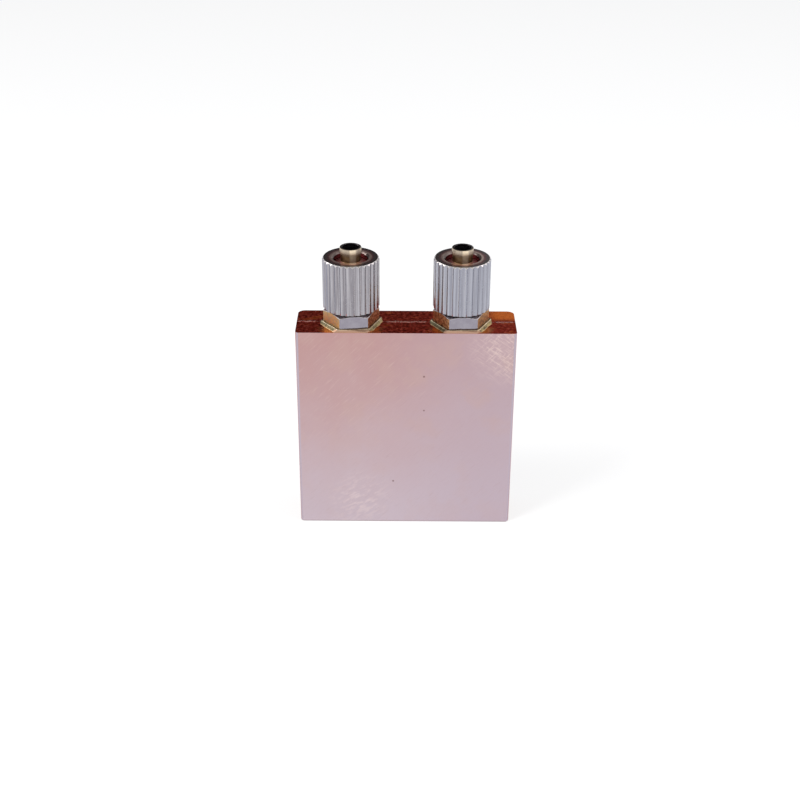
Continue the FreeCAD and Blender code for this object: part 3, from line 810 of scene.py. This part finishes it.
def nickel_nut_material():
    """Bright plate with flutes streaked by painted reflections, painted shade in the grooves and
    the hole, painted highlights at the rim and mouth, and a painted dark reflection on the top.
    """
    s = Surface("nickel_knurl")
    foot = s.foot_x()
    shift = node(s.tree, "CombineXYZ", {"X": foot, "Y": foot})
    s.place = node(s.tree, "VectorMath", {0: s.place, 1: shift.outputs["Vector"]},
                   operation="ADD").outputs["Vector"]
    # Painted reflections: lengthwise streaks of grey and pale plate, and finer pale streaks,
    # stand in for the light and dark lines that the flutes mirror
    sheen_streak = s.noise(1.0, 5.0, (3.4, 3.4, 0.05), roughness=0.65)
    cloud = s.noise(0.7, 4.0)
    fine = s.noise(3.0, 4.0, (3.0, 3.0, 0.15))
    plate = s.blend(s.ramp(sheen_streak, 0.40, 0.60), NUT_GREY, NUT_PALE)
    plate = s.blend(s.ramp(fine, 0.56, 0.72, 0.0, 0.45), plate, NUT_SHEEN_STREAK)
    # Painted light: the outlet nut is painted paler and bluer than the inlet nut
    plate = s.blend(s.ramp(foot, -2.0, 2.0, 0.0, 0.45), plate, LIT_OUTLET_BLUE)
    outer = s.math("MULTIPLY", foot, s.faces[0])
    # Painted reflection: the inlet nut's outer flank is painted blue-grey, as if it mirrored cool
    # light
    blue_reflection = s.math("MULTIPLY", s.ramp(outer, 7.2, 9.0), s.ramp(foot, 2.0, -2.0, 0.0, 0.9))
    plate = s.blend(blue_reflection, plate, INLET_BLUE_REFLECTION)
    # Painted light: the flanks that face the other nut are painted paler
    plate = s.blend(s.ramp(outer, -4.0, -7.0, 0.0, 0.45), plate, LIT_INNER_FLANK)
    # Painted shade: the bottoms of the flutes are painted darker
    groove = s.ramp(s.from_axis(), 4.90, 5.12, 1.0, 0.0)
    plate = s.blend(s.math("MULTIPLY", groove, 0.16), plate, GROOVE_SHADE)
    level = s.ramp(s.faces[2], 0.75, 0.95)
    inside = s.ramp(s.from_axis(), 3.75, 3.85, 1.0, 0.0)
    # Painted highlight: the chamfered rim is painted near white
    slope = s.math("MULTIPLY", s.ramp(s.faces[2], 0.20, 0.45), s.ramp(level, 0.0, 1.0, 1.0, 0.0))
    plate = s.blend(slope, plate, RIM_HIGHLIGHT)
    # Painted reflection and shade: the level top and everything inside the hole are painted dark,
    # plum-red towards the hole, as if they mirrored a dark surround
    ring = s.math("ADD", s.from_axis(), s.math("MULTIPLY", cloud, 0.8))
    dark = s.blend(s.ramp(ring, 4.9, 4.2), TOP_DARK_REFLECTION, TOP_RED_REFLECTION)
    colour = s.blend(s.math("MAXIMUM", level, inside), plate, dark)
    # Painted shade: the sloping mouth of the hole is painted brown
    mouth_shade = s.math("MULTIPLY", slope, inside)
    colour = s.blend(mouth_shade, colour, MOUTH_SHADE_BROWN)
    # Painted highlight: a pale ring on the level top round the hole, where the edge of the mouth
    # catches light
    wear_and_sheen = s.math("MULTIPLY", s.ramp(s.from_axis(), 4.0, 3.6), level)
    colour = s.blend(s.math("MULTIPLY", wear_and_sheen, 0.8), colour, MOUTH_HIGHLIGHT)
    s.bump([(fine, 0.003), (cloud, 0.004)])
    return s.finish(colour, s.ramp(cloud, 0.3, 0.7, 0.16, 0.28))


# Colours of the braze: the collars, and the bead along the seam
OLIVE_SHADE = (0.12, 0.11, 0.065)
OLIVE_LIT = (0.46, 0.36, 0.17)
BRAZE_DARK = (0.12, 0.09, 0.05)
BRAZE_GRAIN = (0.50, 0.46, 0.33)
BRAZE_FOOT = (0.56, 0.36, 0.18)
BRAZE_FRONT = (0.50, 0.30, 0.21)
RIDGE_SHADE = (0.42, 0.36, 0.26)
RIDGE_LIT = (0.80, 0.64, 0.45)
SHOULDER_SHADE_BROWN = (0.20, 0.11, 0.06)
BEAD_RED = (0.34, 0.06, 0.05)
BEAD_PINK = (0.62, 0.30, 0.26)
BEAD_SPECK = (0.90, 0.66, 0.60)


def collar_material():
    """The braze collar: a ridge with a painted highlight, an olive slope painted lit and shaded
    by side, and a level top painted dark as shade at the hexagon's foot.
    """
    s = Surface("fillet_braze")
    _, y, z = s.axes
    patch = s.noise(1.6, 5.0)
    grain = s.noise(5.5, 4.0)
    lit = s.ramp(s.faces[0], -0.4, 0.4)
    olive = s.blend(lit, OLIVE_SHADE, OLIVE_LIT)
    slope = s.blend(s.ramp(patch, 0.35, 0.66), BRAZE_DARK, olive)
    slope = s.blend(s.ramp(grain, 0.60, 0.72, 0.0, 0.4), slope, BRAZE_GRAIN)
    height = s.math("ADD", z, s.math("MULTIPLY", s.math("SUBTRACT", grain, 0.5), 0.16))
    foot = s.ramp(height, 0.16, 0.06)
    colour = s.blend(s.math("MULTIPLY", foot, 0.8), slope, BRAZE_FOOT)
    front = s.ramp(y, -4.3, -4.75)
    colour = s.blend(s.math("MULTIPLY", front, 0.85), colour, BRAZE_FRONT)
    # Painted highlight: a bright band along the collar's ridge, paler on the lit side
    ridge = s.ramp(height, 0.44, 0.52)
    bright = s.blend(lit, RIDGE_SHADE, RIDGE_LIT)
    colour = s.blend(s.math("MULTIPLY", ridge, 0.9), colour, bright)
    # Painted shade: the level top by the hexagon's foot is painted dark brown
    level = s.ramp(s.faces[2], 0.82, 0.96)
    colour = s.blend(level, colour, SHOULDER_SHADE_BROWN)
    s.bump([(patch, 0.02), (grain, 0.015)])
    return s.finish(colour, s.ramp(patch, 0.3, 0.7, 0.24, 0.42))


def seam_material():
    """The seam's bead: crumbly braze with pale specks."""
    s = Surface("seam_braze")
    patch = s.noise(1.6, 5.0)
    grain = s.noise(4.5, 4.0)
    colour = s.blend(s.ramp(patch, 0.38, 0.62), BEAD_RED, BEAD_PINK)
    colour = s.blend(s.ramp(grain, 0.53, 0.66, 0.0, 0.85), colour, BEAD_SPECK)
    s.bump([(patch, 0.03), (grain, 0.03)])
    return s.finish(colour, s.ramp(patch, 0.3, 0.7, 0.34, 0.52))


def dress(piece, material):
    piece.data.materials.clear()
    piece.data.materials.append(material)


# ---------------------------------------------------------------- the object

copper = copper_material()
nickel = nickel_fitting_material()
knurled = nickel_nut_material()
fillet_braze = collar_material()
seam_braze = seam_material()

for name in ("front_plate", "rear_plate"):
    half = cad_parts[name]
    dress(half, copper)
    weld = half.modifiers.new("weld", "WELD")
    weld.merge_threshold = WELD_WIDTH * MM
    bevel = half.modifiers.new("edge", "BEVEL")
    bevel.width = EDGE_ROUNDING * MM
    bevel.segments = 2
    bevel.limit_method = "ANGLE"
    bevel.angle_limit = math.radians(40)
    bevel.harden_normals = True

for piece in (film_mesh(), bead_mesh(), *map(sleeve_mesh, PORTS)):
    dress(piece, seam_braze)
    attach(piece, "block")
    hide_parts("braze_seam")

for port in PORTS:
    for make, body, part, material, slot in (
            (fitting_mesh, "block", "fitting", nickel, "nickel_plate"),
            (fillet_mesh, "block", "fillet", fillet_braze, "braze"),
            (nut_mesh, f"{port.name}_clamp", "nut", knurled, "nickel_knurl")):
        piece = make(port)
        dress(piece, material)
        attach(piece, body)
        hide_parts(f"{port.name}_{part}")


# ---------------------------------------------------------------- the studio

def seen_directly(tree):
    """1 for camera, mirror and transmission rays, and 0 for the light that they gather."""
    path = node(tree, "LightPath")
    either = node(tree, "Math", {0: path.outputs["Is Camera Ray"],
                                 1: path.outputs["Is Glossy Ray"]}, operation="MAXIMUM")
    any_of = node(tree, "Math", {0: either.outputs["Value"],
                                 1: path.outputs["Is Transmission Ray"]}, operation="MAXIMUM")
    return any_of.outputs["Value"]


FLOOR_HALF = 3000.0
FLOOR_COLOUR = (0.86, 0.86, 0.86, 1.0)
FLOOR_WHITENESS = 0.72
SKY_COLOUR = (0.95, 0.96, 1.0, 1.0)
SKY_STRENGTH = 0.55
WHITE = (1.0, 1.0, 1.0, 1.0)


def studio_floor():
    """A wide pale floor, near white to the eye, that keeps a soft shadow."""
    size = FLOOR_HALF
    floor = mesh_object("floor", [(-size, -size, 0), (size, -size, 0), (size, size, 0),
                                  (-size, size, 0)], [(0, 1, 2, 3)])
    material = bpy.data.materials.new("pale_floor")
    material.use_nodes = True
    tree = material.node_tree
    tree.nodes.clear()
    lit = node(tree, "BsdfDiffuse", {"Color": FLOOR_COLOUR})
    white = node(tree, "Emission", {"Color": WHITE, "Strength": 1.0})
    share = node(tree, "Math", {0: seen_directly(tree), 1: FLOOR_WHITENESS}, operation="MULTIPLY")
    mixed = node(tree, "MixShader", {0: share.outputs["Value"], 1: lit.outputs["BSDF"],
                                     2: white.outputs["Emission"]})
    output = node(tree, "OutputMaterial")
    tree.links.new(mixed.outputs["Shader"], output.inputs["Surface"])
    floor.data.materials.append(material)


def studio_world():
    """A pale sky that lights the part, and shows as white to the eye and in mirrors."""
    world = bpy.data.worlds.new("studio")
    bpy.context.scene.world = world
    world.use_nodes = True
    tree = world.node_tree
    tree.nodes.clear()
    fill = node(tree, "Background", {"Color": SKY_COLOUR, "Strength": SKY_STRENGTH})
    white = node(tree, "Background", {"Color": WHITE, "Strength": 1.0})
    mixed = node(tree, "MixShader", {0: seen_directly(tree), 1: fill.outputs["Background"],
                                     2: white.outputs["Background"]})
    output = node(tree, "OutputWorld")
    tree.links.new(mixed.outputs["Shader"], output.inputs["Surface"])


def card(name, centre, width, height, facing, colour, strength):
    """A studio card that only mirrors see: a plain panel turned to face a point."""
    w, h = width / 2, height / 2
    panel = mesh_object(name, [(-w, -h, 0), (w, -h, 0), (w, h, 0), (-w, h, 0)], [(0, 1, 2, 3)])
    away = (Vector(facing) - Vector(centre)).to_track_quat("Z", "Y")
    panel.matrix_world = Matrix.Translation(Vector(centre) * MM) @ away.to_matrix().to_4x4()
    material = bpy.data.materials.new(name)
    material.use_nodes = True
    tree = material.node_tree
    tree.nodes.clear()
    glow = node(tree, "Emission", {"Color": (*colour, 1.0), "Strength": strength})
    output = node(tree, "OutputMaterial")
    tree.links.new(glow.outputs["Emission"], output.inputs["Surface"])
    panel.data.materials.append(material)
    panel.visible_camera = False
    panel.visible_diffuse = False
    panel.visible_shadow = False


def soft_light(name, centre, size, watts):
    """A square soft light that looks at the middle of the block."""
    data = bpy.data.lights.new(name, "AREA")
    data.shape = "SQUARE"
    data.size = size * MM
    data.energy = watts
    lamp = bpy.data.objects.new(name, data)
    bpy.context.scene.collection.objects.link(lamp)
    spot = Vector(centre) * MM
    look = (Vector(AIM) * MM - spot).to_track_quat("-Z", "Y")
    lamp.matrix_world = Matrix.Translation(spot) @ look.to_matrix().to_4x4()
    lamp.visible_glossy = False


AIM = (0.0, 0.0, TOP)

# Each card: name, centre, width, height, the point it faces, colour and strength
CARDS = (
    ("dark_card_behind", (-222.0, 420.0, 300.0), 520.0, 520.0, (-222.0, 0.0, TOP),
     (1.0, 0.90, 0.90), 0.15),
    ("grey_card_behind", (248.0, 421.0, 300.0), 420.0, 520.0, (248.0, 0.0, TOP),
     (1.0, 0.97, 0.95), 0.46),
    ("grey_card_above", (0.0, -20.0, 620.0), 900.0, 900.0, AIM, (1.0, 0.97, 0.92), 0.45),
    ("left_softbox", (-325.0, 95.0, 270.0), 110.0, 190.0, AIM, (1.0, 0.97, 0.93), 3.0),
    ("left_spark", (-305.0, 170.0, 268.0), 46.0, 60.0, AIM, (1.0, 0.99, 0.97), 8.0),
    ("right_softbox", (360.0, 60.0, 340.0), 120.0, 120.0, AIM, (1.0, 0.92, 0.94), 2.0),
)

# Each light: name, centre, size and watts
LIGHTS = (
    ("key", (-420.0, -260.0, 520.0), 300.0, 5.0),
    ("fill", (460.0, -120.0, 420.0), 300.0, 2.5),
)

studio_floor()
studio_world()
for settings in CARDS:
    card(*settings)
for settings in LIGHTS:
    soft_light(*settings)


# ---------------------------------------------------------------- the camera

AZIMUTH = math.radians(0.065)
ELEVATION = math.radians(27.529)
ROLL = math.radians(0.319)
DISTANCE = 258.10
TARGET = Vector((-1.035, 0.0, 23.876))
LENS = 61.67

forward = -Vector((math.sin(AZIMUTH) * math.cos(ELEVATION),
                   -math.cos(AZIMUTH) * math.cos(ELEVATION), math.sin(ELEVATION)))
right = forward.cross(Vector((0.0, 0.0, 1.0))).normalized()
up = right.cross(forward)
right, up = (right * math.cos(ROLL) + up * math.sin(ROLL),
             up * math.cos(ROLL) - right * math.sin(ROLL))
camera_data = bpy.data.cameras.new("camera")
camera_data.lens = LENS
camera_data.sensor_width = 36.0
camera_data.clip_start = 1.0 * MM
camera = bpy.data.objects.new("camera", camera_data)
bpy.context.scene.collection.objects.link(camera)
turn = Matrix((right, up, -forward)).transposed().to_4x4()
camera.matrix_world = Matrix.Translation((TARGET - forward * DISTANCE) * MM) @ turn
bpy.context.scene.camera = camera
bpy.context.scene.view_settings.view_transform = "Standard"
